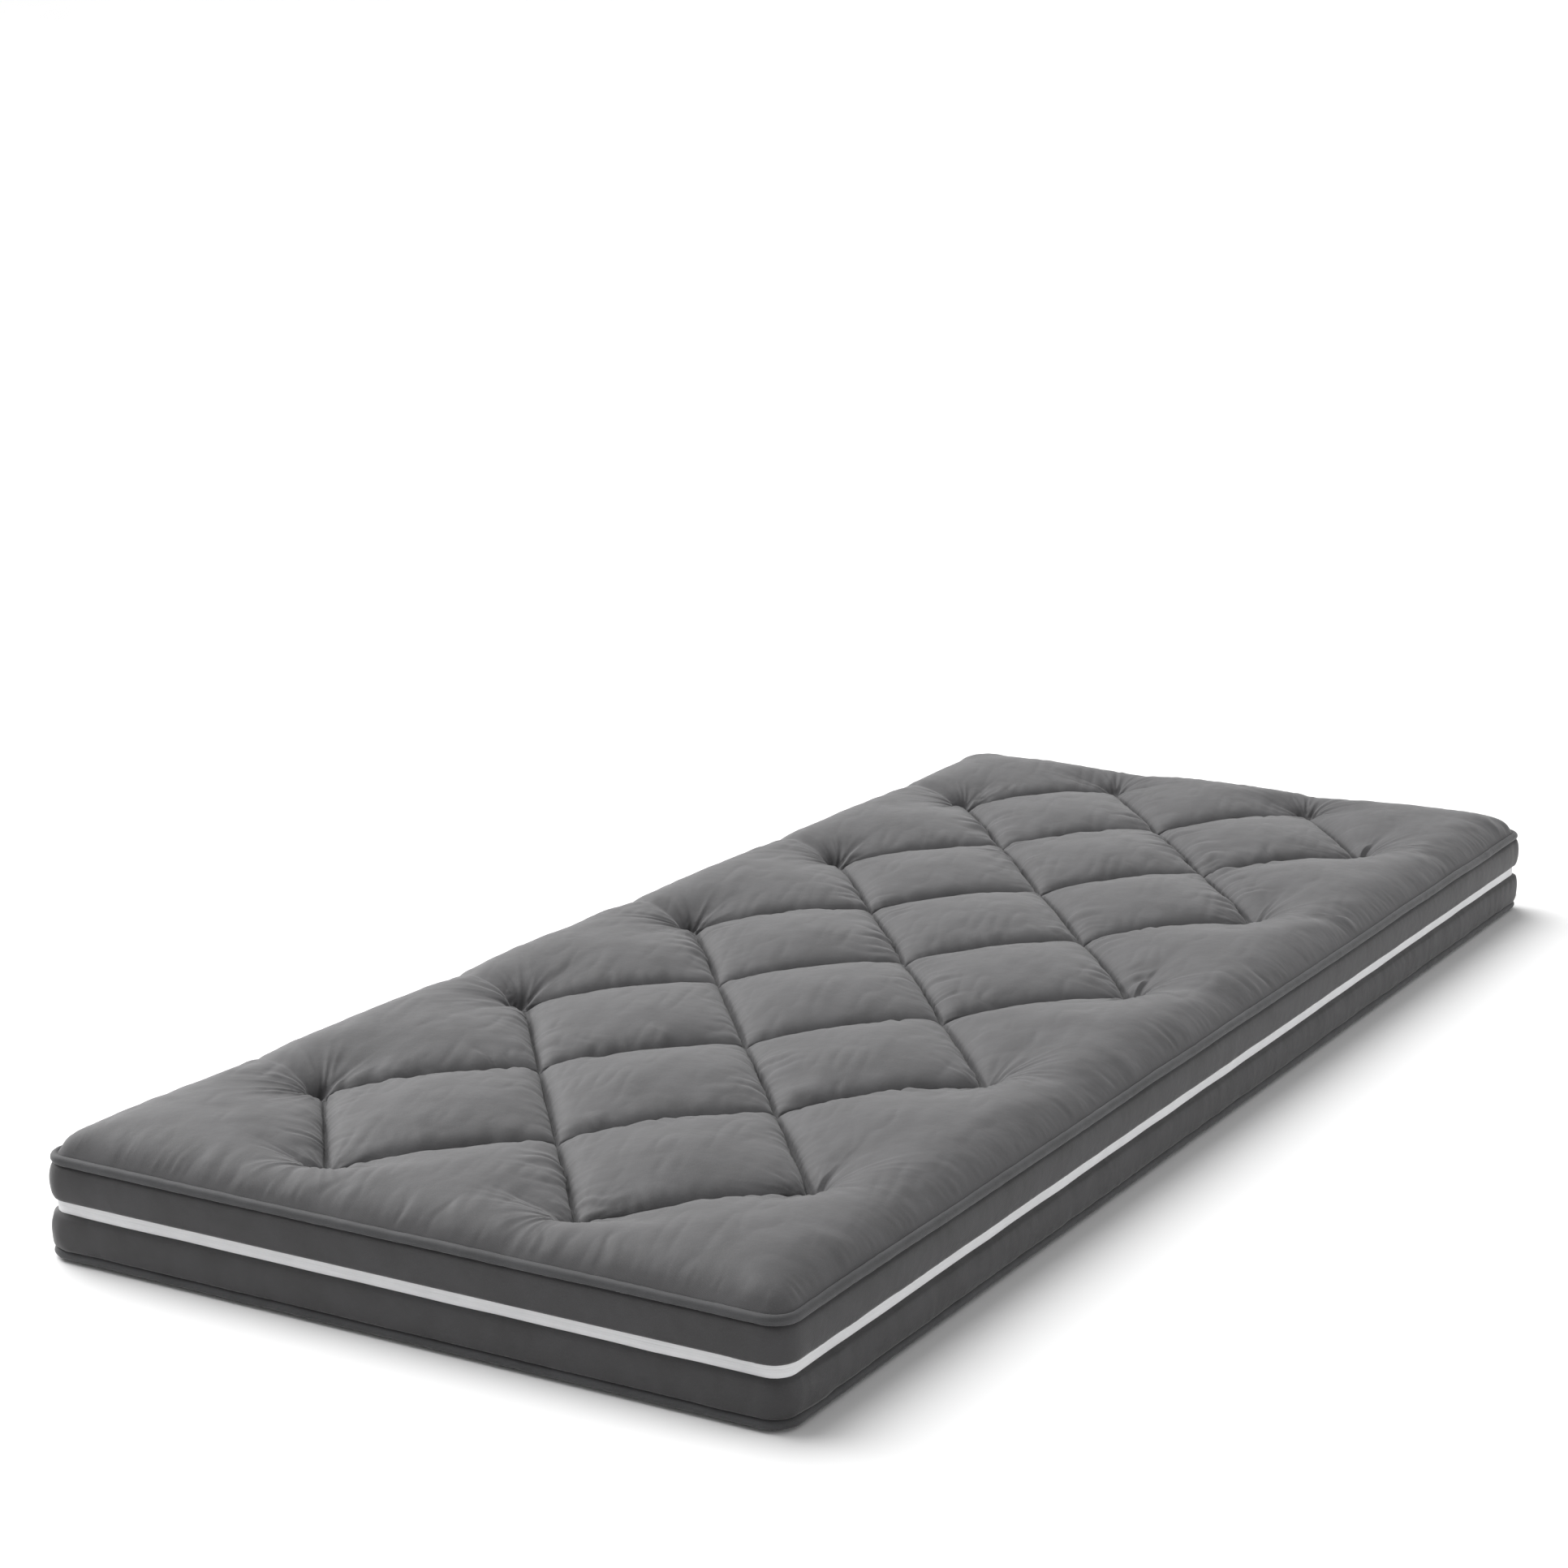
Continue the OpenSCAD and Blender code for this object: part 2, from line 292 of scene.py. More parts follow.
def puffed(xs, ys):
    """The quilting before it is simulated: a soft crown on each diamond and along the border."""
    x, y, p, q, inside, stitched, rim = quilt_plan(xs, ys)
    inner_x = np.clip(x, -COLS * DIAMOND_X, COLS * DIAMOND_X)
    inner_y = np.clip(y, -ROWS * DIAMOND_Y, ROWS * DIAMOND_Y)
    p, q = diamond(inner_x, inner_y)
    crown = np.sqrt((1 - (1 - p) ** 2) * (1 - (1 - q) ** 2))
    outside = np.clip(np.hypot(x - inner_x, y - inner_y) / 0.06, 0, 1)
    crown += 0.8 * (1 - crown) * np.sin(outside * math.pi / 2)
    e = np.clip(rim / 0.055, 0, 1)
    border = np.sqrt(1 - (1 - e) ** 2)
    z = STITCH_Z - 0.004 * (1 - border) + 0.027 * crown ** 0.85 * border
    shake = np.random.default_rng(4).normal(0, 0.0002, x.shape)
    z += np.where(stitched, 0, shake)
    z = np.where(rim < 1e-6, TOP_SEAM, z)
    px, py = round_corners(x, y)
    return np.stack([px, py, z], -1), stitched | (rim < 1e-6)


def pin(piece, held):
    group = piece.vertex_groups.new(name="pin")
    group.add([int(v) for v in np.nonzero(held.ravel())[0]], 1.0, "REPLACE")


def inflate(xs, ys, frames=24):
    """Cloth simulation: spare cloth held at the stitches and the rim, pushed up by the wadding."""
    grid, held = puffed(xs, ys)
    material = bpy.data.materials.new("scratch")
    piece = make_mesh("quilt_sim", grid.reshape(-1, 3), quilt_faces(xs, ys), material)
    pin(piece, held)
    piece.shape_key_add(name="start")
    key = piece.shape_key_add(name="cut")
    spare = grid.copy()
    spare[..., 0] *= 1.1
    spare[..., 1] *= 1.085
    spare[..., 2] = TOP_SEAM
    key.data.foreach_set("co", spare.astype(np.float32).ravel())
    key.value = 0
    cloth = piece.modifiers.new("Cloth", "CLOTH")
    settings = cloth.settings
    settings.vertex_group_mass = "pin"
    settings.rest_shape_key = key
    settings.quality = 5
    settings.mass = 0.008
    settings.tension_stiffness = 25
    settings.compression_stiffness = 25
    settings.shear_stiffness = 8
    settings.bending_stiffness = 0.12
    settings.air_damping = 2
    settings.use_pressure = True
    settings.uniform_pressure_force = 5
    settings.effector_weights.gravity = 0
    cloth.point_cache.frame_end = frames + 1
    for step in range(1, frames + 1):
        bpy.context.scene.frame_set(step)
    depsgraph = bpy.context.evaluated_depsgraph_get()
    result = piece.evaluated_get(depsgraph).to_mesh()
    moved = np.empty(grid.size, np.float32)
    result.vertices.foreach_get("co", moved)
    moved = moved.reshape(grid.shape).astype(float)
    shift = np.clip(moved - grid, -0.012, 0.012)
    bpy.data.objects.remove(piece)
    bpy.data.materials.remove(material)
    bpy.context.scene.frame_set(1)
    return grid + shift


def gathers(across, along, line):
    """Small folds square to a stitch line: short and close at the line, longer and wider away from it."""
    near = np.clip(across / 0.003, 0, 1)
    warp = 0.004 * noise(along / 0.03, across / 0.02 + line, 11)
    fine = noise((along + warp) / 0.0060 + 31.7 * line, across / 0.03 + 5.1 * line, 12)
    wide = noise((along + warp) / 0.0120 + 17.3 * line, across / 0.06 + 3.7 * line, 13)
    broad = noise((along + 2 * warp) / 0.021 + 9.1 * line, across / 0.11 + 7.9 * line, 14)
    patch = 0.25 + 0.75 * np.clip(0.5 + noise(along / 0.07 + 2.9 * line, across * 0, 19), 0, 1.2)
    height = 0.0017 * np.abs(fine) * np.exp(-across / 0.009)
    height += 0.0024 * np.abs(wide) * np.exp(-across / 0.017) * patch
    height += 0.0030 * np.abs(broad) * np.exp(-((across - 0.016) / 0.022) ** 2) * patch
    return near * height


def tucks(x, y):
    """Folds that run out from the outermost stitches towards the piping."""
    height = np.zeros_like(x)
    count = 0
    for col in range(-COLS, COLS + 1):
        for row in range(-ROWS, ROWS + 1):
            outer = abs(col) == COLS or abs(row) == ROWS
            if not outer or (col + row) % 2 or (abs(col) == COLS and abs(row) == ROWS):
                continue
            count += 1
            dx = x - col * DIAMOND_X
            dy = y - row * DIAMOND_Y
            reach = np.hypot(dx, dy)
            turn = np.arctan2(dy, dx) / 0.16 + 13.7 * count
            fold = noise(turn, reach / 0.09 + 3.3 * count, 15)
            height -= 0.007 * np.abs(fold) * np.exp(-reach / 0.03) * np.clip(reach / 0.008, 0, 1)
            height -= 0.006 * np.exp(-(reach / 0.016) ** 2)
            if row == ROWS:
                lean = dx - 0.25 * dy
                height -= 0.009 * np.exp(-(lean / 0.01) ** 2) * (dy > 0) * np.exp(-dy / 0.07)
    return height


def quilt_detail(xs, ys, grid):
    """Adds gathers, tucks and the groove that the thread pulls in, and gives painted shade for that groove.
    """
    x, y, p, q, inside, stitched, rim = quilt_plan(xs, ys)
    lattice = np.where(inside, 1, 0)
    height = np.zeros_like(x)
    for share, other, sign in ((p, q, 1), (q, p, -1)):
        across = share * HALF_PITCH
        along = (x * DIAMOND_X - sign * y * DIAMOND_Y) / SIDE_OF_DIAMOND
        line = np.round((x / DIAMOND_X + sign * y / DIAMOND_Y) / 2)
        side = np.where(np.sin(math.pi * (x / DIAMOND_X + sign * y / DIAMOND_Y) / 2) > 0, 0.5, 0)
        fade = np.clip(other * HALF_PITCH / 0.012, 0, 1)
        height += lattice * fade * gathers(across, along, line + side + 20 * sign)
    edge_along = np.where(QUILT_X - np.abs(x) < QUILT_Y - np.abs(y), y, x)
    side = np.where(QUILT_X - np.abs(x) < QUILT_Y - np.abs(y), 60.5, 40.25)
    side = side + np.where(x + y > 0, 3.0, 0.0)
    to_corner = np.hypot(QUILT_X - np.abs(x), QUILT_Y - np.abs(y))
    bunched = 1 + 0.8 * np.exp(-(to_corner / 0.14) ** 2)
    bunched *= np.clip(np.abs(QUILT_X - np.abs(x) - QUILT_Y + np.abs(y)) / 0.02, 0, 1)
    height += 0.5 * bunched * gathers(np.maximum(rim - 0.004, 0), edge_along, side)
    rumple = noise(x / 0.05 + y / 0.11, y / 0.035 - x / 0.2, 16)
    height += 0.0007 * rumple * np.clip(rim / 0.03, 0, 1)
    fine = np.abs(noise(x / 0.06 + y / 0.09, y / 0.016 - x / 0.05, 17))
    height += 0.0009 * fine * np.clip(rim / 0.03, 0, 1) * np.clip(np.minimum(p, q) * 5, 0, 1)
    height += tucks(x, y) * np.where(inside, 0.4, 1)
    near = np.minimum(p, q) * HALF_PITCH
    height -= lattice * 0.0026 * np.exp(-(near / 0.0022) ** 2)
    normal = vertex_normals(grid.reshape(-1, 3), quilt_faces(xs, ys)).reshape(grid.shape)
    # painted shade: a dark band along each stitch line, standing in for the shade in its crease
    crease_shade = lattice * np.exp(-(near / 0.0015) ** 2)
    keep = np.clip(rim / 0.01, 0, 1)
    return grid + normal * (height * keep)[..., None], crease_shade


def make_quilt(material):
    xs = quilt_lines(QUILT_X, COLS, DIAMOND_X)
    ys = quilt_lines(QUILT_Y, ROWS, DIAMOND_Y)
    grid = inflate(xs, ys)
    for _ in range(2):
        xs, ys, grid = refine(xs, ys, grid)
        held = quilt_plan(xs, ys)[5]
        grid = smooth(grid, held, 4)
    grid, crease_shade = quilt_detail(xs, ys, grid)
    along = np.repeat(xs, len(ys))
    faces = quilt_faces(xs, ys)
    lay_on_roll(
        "quilted_top", grid.reshape(-1, 3), faces, along, material, "top_panel",
        crease_shade.ravel(),
    )
    return grid


def dash(points, half_width):
    """A short thread laid along points, six-sided and pinched at both ends."""
    heading = points[-1] - points[0]
    heading /= np.linalg.norm(heading)
    side = np.cross(heading, (0, 0, 1))
    side /= np.linalg.norm(side)
    up = np.cross(side, heading)
    turn = np.arange(6) * math.pi / 3
    rings = []
    for point, size in zip(points, (0.35, 1.0, 1.0, 0.35)):
        ring = np.cos(turn)[:, None] * side + 0.7 * np.sin(turn)[:, None] * up
        rings.append(point + half_width * size * ring)
    return np.concatenate(rings)


def threads(runs, pitch, half_width):
    """Rows of stitches along each run of points."""
    parts = []
    for run in runs:
        step = np.linalg.norm(np.diff(run, axis=0), axis=1)
        reach = np.concatenate([[0], np.cumsum(step)])
        count = max(1, int(reach[-1] / pitch))
        for k in range(count):
            at = (k + np.array([0.1, 0.25, 0.75, 0.9])) * reach[-1] / count
            points = np.stack([np.interp(at, reach, run[:, axis]) for axis in range(3)], -1)
            points[:, 2] -= np.array([0.0006, 0, 0, 0.0006])
            parts.append(dash(points, half_width))
    quads = grid_faces(4, 6, False, True)[:, ::-1]
    faces = np.concatenate([quads + 24 * k for k in range(len(parts))])
    return np.concatenate(parts), faces


def make_quilt_thread(grid, material):
    """The thread in the stitch lines, following the simulated cloth."""
    middle_i = grid.shape[0] // 2
    middle_j = grid.shape[1] // 2
    cells = 4 * CELLS
    runs = []
    for row in range(-ROWS, ROWS):
        for col in range(-COLS, COLS + 1):
            if (row + col) % 2 or (abs(col) == COLS and row == -ROWS):
                continue
            for turn in (-1, 1):
                if abs(col + turn) > COLS or (abs(col + turn) == COLS and row + 1 == ROWS):
                    continue
                i = middle_i + col * cells + turn * np.arange(cells + 1)
                j = middle_j + row * cells + np.arange(cells + 1)
                runs.append(grid[i, j] + (0, 0, 0.0005))
    co, faces = threads(runs, 0.0042, 0.00042)
    lay_on_roll("quilting_thread", co, faces, co[:, 0], material)


def make_underside(material):
    """The bottom panel: shallow diamonds, flat where they rest on the floor."""
    xs = quilt_lines(QUILT_X, COLS, DIAMOND_X)
    ys = quilt_lines(QUILT_Y, ROWS, DIAMOND_Y)
    x, y, p, q, inside, stitched, rim = quilt_plan(xs, ys)
    near = np.minimum(p, q) * HALF_PITCH
    groove = np.where(inside, 0.0045 * np.exp(-near / 0.007), 0)
    lift = 0.0062 * np.exp(-rim / 0.006)
    ripple = 0.0006 * np.abs(noise(x / 0.02, y / 0.02, 18)) * np.exp(-near / 0.02)
    z = 0.0007 + np.maximum(groove, lift) + ripple
    px, py = round_corners(x, y)
    grid = np.stack([px, py, z], -1)
    # painted shade along the stitch-line grooves of the underside
    crease_shade = np.where(inside, np.exp(-(near / 0.003) ** 2), 0)
    faces = quilt_faces(xs, ys)[:, ::-1]
    along = np.repeat(xs, len(ys))
    lay_on_roll(
        "underside", grid.reshape(-1, 3), faces, along, material, "bottom_panel",
        crease_shade.ravel(),
    )


# ---- sides ----

def pucker(s, up, seed, size):
    """Soft upright folds that start at the seams above and below a strip. up runs from 0 to 1."""
    warp = 0.006 * noise(s / 0.05, up * 2, seed + 1)
    wide = noise((s + warp) / 0.03, up * 1.2, seed)
    fine = noise((s + warp) / 0.011, up * 1.5, seed + 2)
    ends = 0.35 + 0.65 * np.abs(2 * up - 1) ** 1.5
    point = np.abs(outline(s[:, 0])[0])
    to_corner = np.hypot(HALF_L - point[:, 0], HALF_W - point[:, 1])[:, None]
    bunched = 1 + 1.6 * np.exp(-(to_corner / 0.07) ** 2)
    return size * (0.7 * wide + 0.7 * np.abs(fine)) * ends * bunched


def strip(s, low, high, belly, seed, size, inset_low, inset_high):
    """One strip of side band between two seams: it bellies out and pulls in at its edges."""
    up = np.linspace(0, 1, 15)[None, :]
    round_up = np.sqrt(np.clip(1 - (2 * up - 1) ** 2, 0, 1))
    folds = pucker(s[:, None], up, seed, size) * np.clip(round_up * 2, 0, 1)
    inset = inset_low * (1 - up) + inset_high * up
    out = -inset + belly * round_up ** 0.8 + folds
    z = np.broadcast_to(low + (high - low) * up, out.shape)
    return out, z


def make_side(material):
    """The side band: two strips with the zip between them, and one plain strip on the long +Y side."""
    s = loop_distances(0.0045)
    zipped = s[(s > PLAIN_HALF) & (s < LOOP - PLAIN_HALF)]
    zipped = np.concatenate([[PLAIN_HALF], zipped, [LOOP - PLAIN_HALF]])
    plain = s[s < PLAIN_HALF]
    plain = np.concatenate([-plain[:0:-1], plain, [PLAIN_HALF]])
    plain = np.concatenate([[-PLAIN_HALF], plain])
    low = FOOT_SEAM + 0.003
    high = TOP_SEAM - 0.003
    jobs = (
        ("lower_band", zipped, low, ZIP_Z - ZIP_HALF, 0.0078, 21, 0.0011, 0.0060, 0.0064),
        ("upper_band", zipped, ZIP_Z + ZIP_HALF, high, 0.0080, 24, 0.0006, 0.0064, 0.0060),
        ("plain_band", plain, low, high, 0.0080, 27, 0.0018, 0.0060, 0.0060),
    )
    for name, where, bottom, top, belly, seed, size, inset_low, inset_high in jobs:
        out, z = strip(where, bottom, top, belly, seed, size, inset_low, inset_high)
        if name == "plain_band":
            seam = np.minimum(np.abs(where - PLAIN_HALF), np.abs(where + PLAIN_HALF))
            out = out - 0.0016 * np.exp(-(seam / 0.004) ** 2)[:, None]
        co = sweep(where, out, z)
        faces = grid_faces(len(where), out.shape[1])
        along = np.repeat(outline(where)[0][:, 0], out.shape[1])
        kind = "side_band" if name == "lower_band" else None
        lay_on_roll(name, co, faces, along, material, kind)


def make_piping(material):
    """Cord covered in the cover's fabric, sewn into the top and bottom seams."""
    s = loop_distances(0.0045)
    turn = np.linspace(0, 2 * math.pi, 17)[:-1]
    cords = (
        ("top_piping", TOP_SEAM, 1.0, 31, "piping"),
        ("foot_piping", FOOT_SEAM, 0.2, 34, None),
    )
    for name, height, sway, seed, kind in cords:
        twist = noise(s[:, None] / 0.009 + np.sin(turn)[None, :] * 0.8, turn[None, :] / 2, seed)
        radius = PIPE_R * (1 + 0.045 * twist + 0.03 * noise(s / 0.06, s * 0, seed + 1)[:, None])
        wander = 0.0007 * noise(s / 0.09, s * 0, seed + 2)[:, None]
        out = -PIPE_R + radius * np.cos(turn)[None, :]
        z = height + wander * sway + radius * np.sin(turn)[None, :]
        co = sweep(s, out, z)
        faces = grid_faces(len(s), len(turn), True, True)
        along = np.repeat(outline(s)[0][:, 0], len(turn))
        lay_on_roll(name, co, faces, along, material, kind)


def make_zip(material):
    """Reverse-coil zip: two flat tapes that meet over the coil, with a row of stitching on each."""
    s = loop_distances(0.003)
    s = s[(s > PLAIN_HALF) & (s < LOOP - PLAIN_HALF)]
    s = np.concatenate([[PLAIN_HALF], s, [LOOP - PLAIN_HALF]])
    half = np.array([0.35, 1.6, 2.1, 2.6, 4.2, 4.7, 5.2, 6.6])
    half_rise = np.array([0.6, 0.5, -0.1, 0.25, 0.1, -0.35, 0.0, -0.6])
    across = np.concatenate([-half[::-1], [0], half])
    rise = np.concatenate([half_rise[::-1], [0.05], half_rise])
    wander = 0.0004 * noise(s / 0.05, s * 0, 41)[:, None]
    out = -0.0054 + rise[None, :] / 1000 + wander
    z = ZIP_Z + across[None, :] / 1000 + 0.0006 * noise(s / 0.12, s * 0, 42)[:, None]
    co = sweep(s, out, z)
    faces = grid_faces(len(s), len(across))
    along = np.repeat(outline(s)[0][:, 0], len(across))
    lay_on_roll("zip_band", co, faces, along, material, "zip")


def make_foam(material):
    """The foam core inside the cover, a slab with softened edges."""
    s = loop_distances(0.02)
    turn = np.linspace(-90, 90, 7)
    out = -0.016 + 0.01 * np.cos(np.radians(turn)) - 0.004
    z = np.array([0.0125, 0.0135, 0.017, ZIP_Z, 0.088, 0.0915, 0.0925])
    rim = sweep(s, np.broadcast_to(out, (len(s), 7)), np.broadcast_to(z, (len(s), 7)))
    co = rim.reshape(len(s), 7, 3)
    rows = []
    for level in (0, 6):
        edge = co[:, level]
        for share in (0.96, 0.0):
            ring = edge.copy()
            ring[:, 1] *= share
            rows.append(ring)
    full = np.concatenate([rows[1][:, None], rows[0][:, None], co, rows[2][:, None], rows[3][:, None]], 1)
    faces = grid_faces(len(s), full.shape[1], True, False)
    along = np.repeat(full[:, 3, 0], full.shape[1])
    lay_on_roll("foam_slab", full.reshape(-1, 3), faces, along, material, "foam_core")


# ---- harness ----

def arc(y, z, radius, first, last):
    """Points round a fold in the webbing, between two angles in degrees."""
    count = max(4, int(abs(last - first) / 15))
    turn = np.radians(np.linspace(first, last, count))
    return [(y + radius * math.cos(t), z + radius * math.sin(t)) for t in turn]


def strap_path():
    """The strap's middle line from its tail to the outer fold, and from there round the plug's bar."""
    stored = [(0.212, 0.0156)] + arc(0.262, 0.013, 0.0026, 90, -90)
    stored += arc(0.03, 0.0079, 0.0025, 90, 270)
    stored += arc(0.372, 0.0043, 0.0011, 90, -90)
    stored += arc(0.03, 0.0021, 0.0011, 90, 270)
    stored += arc(0.38, 0.0057, 0.0047, -90, 90)
    buckled = [(0.38, 0.0104)] + arc(0.338, 0.013, 0.0026, -90, -430)
    return np.array(stored), np.array(buckled)


def even_path(path, step):
    """The same path with points at most step apart."""
    points = [path[0]]
    for a, b in zip(path[:-1], path[1:]):
        count = max(1, int(math.ceil(np.linalg.norm(b - a) / step)))
        points += [a + (b - a) * k / count for k in range(1, count + 1)]
    return np.array(points)


def make_ribbon(name, path, side, material):
    """Ribbed webbing 25 mm wide laid along a path in the Y-Z plane."""
    heading = np.gradient(path, axis=0)
    heading /= np.maximum(np.linalg.norm(heading, axis=1, keepdims=True), 1e-9)
    normal = np.stack([-heading[:, 1], heading[:, 0]], -1)
    across = np.linspace(-0.0125, 0.0125, 27)
    rib = 0.00066 + 0.00012 * np.cos(across / 0.0125 * math.pi * 5)
    rib *= np.sqrt(np.clip(1 - (across / 0.01252) ** 8, 0, 1))
    sheets = []
    for face, order in ((1, slice(None)), (-1, slice(None, None, -1))):
        x = np.broadcast_to(across[order], (len(path), 27)) + HARNESS_X
        rise = face * rib[order][None, :]
        y = HARNESS_Y + side * (path[:, :1] + normal[:, :1] * rise)
        z = path[:, 1:] + normal[:, 1:] * rise
        sheets.append(np.stack([x, y, z], -1))
    co = np.concatenate(sheets, 1)
    faces = grid_faces(len(path), 54, False, True)
    if side > 0:
        faces = faces[:, ::-1]
    piece = make_mesh(name, co.reshape(-1, 3), faces, material)
    return piece


def make_straps(material):
    """Each strap rides on the harness; the end round the plug's bar is a piece of its own."""
    stored, buckled = strap_path()
    for side, letter in ((1, "a"), (-1, "b")):
        piece = make_ribbon(f"webbing_{letter}", even_path(stored, 0.01), side, material)
        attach(piece, "harness")
        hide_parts(f"strap_{letter}")
        end = make_ribbon(f"webbing_end_{letter}", even_path(buckled, 0.004), side, material)
        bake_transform(end)
        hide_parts(f"strap_{letter}")


def make_handle(material):
    """The webbing handle: two halves that lie on the straps where they are sewn, and rise into the arch."""
    y = np.linspace(0, 0.205, 96)
    arch = np.sqrt(HANDLE_R ** 2 - np.minimum(y, HANDLE_FOOT) ** 2) - HANDLE_R + HANDLE_RISE
    arch = np.where(y > HANDLE_FOOT, 0, arch)
    weights = np.hanning(9) / np.hanning(9).sum()
    z = np.convolve(np.pad(arch, 4, mode="edge"), weights, "valid") + HANDLE_Z
    across = np.linspace(-0.019, 0.019, 39)
    rib = 0.00028 * np.cos(across / 0.019 * math.pi * 7) + 0.0009
    rib *= np.sqrt(np.clip(1 - (across / 0.0191) ** 8, 0, 1))
    slope = np.gradient(z, y)
    lift = 1 / np.sqrt(1 + slope ** 2)
    for side, name in ((1, "handle_a"), (-1, "handle_b")):
        sheets = []
        for face, order in ((1, slice(None)), (-1, slice(None, None, -1))):
            x = np.broadcast_to(across[order], (len(y), 39))
            rise = face * rib[order][None, :]
            yy = side * (y[:, None] - rise * slope[:, None] * lift[:, None])
            zz = z[:, None] + rise * lift[:, None]
            sheets.append(np.stack([x + HARNESS_X, yy + HARNESS_Y, zz], -1))
        co = np.concatenate(sheets, 1)
        faces = grid_faces(len(y), 78, False, True)
        if side > 0:
            faces = faces[:, ::-1]
        piece = make_mesh(name, co.reshape(-1, 3), faces, material)
        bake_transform(piece)
        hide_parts("carry_handle")


def make_box_stitches(material):
    """The crossed box of thread that holds each end of the handle to its strap."""
    runs = []
    top = HANDLE_Z + 0.0012
    for side in (1, -1):
        near = HARNESS_Y + side * 0.168
        far = HARNESS_Y + side * 0.2
        west = HARNESS_X - 0.0095
        east = HARNESS_X + 0.0095
        corners = [(west, near), (east, near), (east, far), (west, far), (west, near), (east, far)]
        corners += [(east, near), (west, far)]
        for a, b in zip(corners[:-1], corners[1:]):
            ends = np.array([(*a, top), (*b, top)])
            if a != (east, far) or b != (east, near):
                runs.append(ends)
    co, faces = threads(runs, 0.0032, 0.00035)
    piece = make_mesh("handle_stitches", co, faces, material)
    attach(piece, "harness")


# ---- materials ----

class Paint:
    """Builds one node material; every texture reads object coordinates in metres."""

    def __init__(self, name, rough, sheen=0.0, sheen_rough=0.5, specular=0.5):
        self.material = bpy.data.materials.new(name)
        self.material.use_nodes = True
        self.tree = self.material.node_tree
        self.shader = self.tree.nodes["Principled BSDF"]
        self.shader.inputs["Roughness"].default_value = rough
        self.shader.inputs["Sheen Weight"].default_value = sheen
        self.shader.inputs["Sheen Roughness"].default_value = sheen_rough
        self.shader.inputs["Specular IOR Level"].default_value = specular
        self.place = self.node("ShaderNodeTexCoord").outputs["Object"]
        self.bumped = None

    def node(self, kind, **values):
        made = self.tree.nodes.new(kind)
        for key, value in values.items():
            if hasattr(made, key):
                setattr(made, key, value)
            else:
                made.inputs[key.replace("_", " ")].default_value = value
        return made

    def link(self, output, target):
        self.tree.links.new(output, target)

    def stretched(self, x, y, z):
        mapping = self.node("ShaderNodeMapping")
        mapping.inputs["Scale"].default_value = (x, y, z)
        self.link(self.place, mapping.inputs["Vector"])
        return mapping.outputs["Vector"]

    def cloud(self, scale, detail=3, place=None):
        made = self.node("ShaderNodeTexNoise", Scale=scale, Detail=detail)
        self.link(place or self.place, made.inputs["Vector"])
        return made.outputs["Fac"]

    def bands(self, pitch, axis, distortion=0.0):
        made = self.node("ShaderNodeTexWave", bands_direction=axis, Scale=0.314159 / pitch)
        made.inputs["Distortion"].default_value = distortion
        made.inputs["Detail"].default_value = 1
        self.link(self.place, made.inputs["Vector"])
        return made.outputs["Fac"]

    def bump(self, height, distance, strength=1.0):
        made = self.node("ShaderNodeBump", Distance=distance, Strength=strength)
        self.link(height, made.inputs["Height"])
        if self.bumped:
            self.link(self.bumped, made.inputs["Normal"])
        self.bumped = made.outputs["Normal"]
        self.link(self.bumped, self.shader.inputs["Normal"])

    def ramp(self, value, low, high, start=0.3, end=0.7):
        made = self.node("ShaderNodeValToRGB")
        made.color_ramp.elements[0].position = start
        made.color_ramp.elements[1].position = end
        made.color_ramp.elements[0].color = (*low, 1)
        made.color_ramp.elements[1].color = (*high, 1)
        self.link(value, made.inputs["Fac"])
        return made.outputs["Color"]

    def mix(self, share, a, b):
        made = self.node("ShaderNodeMix", data_type="RGBA")
        for socket, value in ((made.inputs[6], a), (made.inputs[7], b)):
            if isinstance(value, tuple):
                socket.default_value = (*value, 1)
            else:
                self.link(value, socket)
        self.link(share, made.inputs[0])
        return made.outputs[2]

    def colour(self, output):
        self.link(output, self.shader.inputs["Base Color"])
        return self.material


def cover_cloth(name, dark, light, shade_creases):
    """Brushed microfibre: fine twill, a soft nap and painted shade darkening the creases along the stitch
    lines.
    """
    paint = Paint(name, 0.66, sheen=0.3, sheen_rough=0.35, specular=0.3)
    colour = paint.ramp(paint.cloud(28, 4), dark, light, 0.35, 0.65)
    speck = paint.ramp(paint.cloud(1500, 2), (0.0, 0.0, 0.0), (1.0, 1.0, 1.0), 0.55, 0.8)
    paler = tuple(1.25 * c for c in light)
    mixed = paint.mix(speck, colour, paler)
    if shade_creases:
        # painted shade: the seam attribute darkens the cloth in the creases along the stitch lines
        seam = paint.node("ShaderNodeAttribute", attribute_name="seam")
        mixed = paint.mix(seam.outputs["Fac"], mixed, tuple(0.35 * c for c in dark))
    twill = paint.bands(0.0009, "DIAGONAL", 1.5)
    paint.bump(twill, 0.00012, 0.5)
    paint.bump(paint.cloud(700, 3), 0.0003, 0.35)
    paint.bump(paint.cloud(90, 3), 0.0012, 0.3)
    return paint.colour(mixed)


def zip_cloth():
    paint = Paint("zip_tape_white", 0.6, sheen=0.2)
    ribs = paint.bands(0.0011, "X", 0.4)
    colour = paint.ramp(paint.cloud(40, 2), (0.70, 0.70, 0.71), (0.75, 0.75, 0.76))
    paint.bump(ribs, 0.0001, 0.3)
    return paint.colour(colour)


def webbing():
    paint = Paint("webbing_black", 0.55, sheen=0.25, sheen_rough=0.4)
    colour = paint.ramp(paint.cloud(500, 3), (0.008, 0.008, 0.009), (0.02, 0.02, 0.022))
    paint.bump(paint.bands(0.0026, "Y", 0.3), 0.0005, 0.7)
    paint.bump(paint.bands(0.0016, "X", 0.3), 0.0003, 0.5)
    paint.bump(paint.cloud(1500, 2), 0.0002, 0.4)
    return paint.colour(colour)


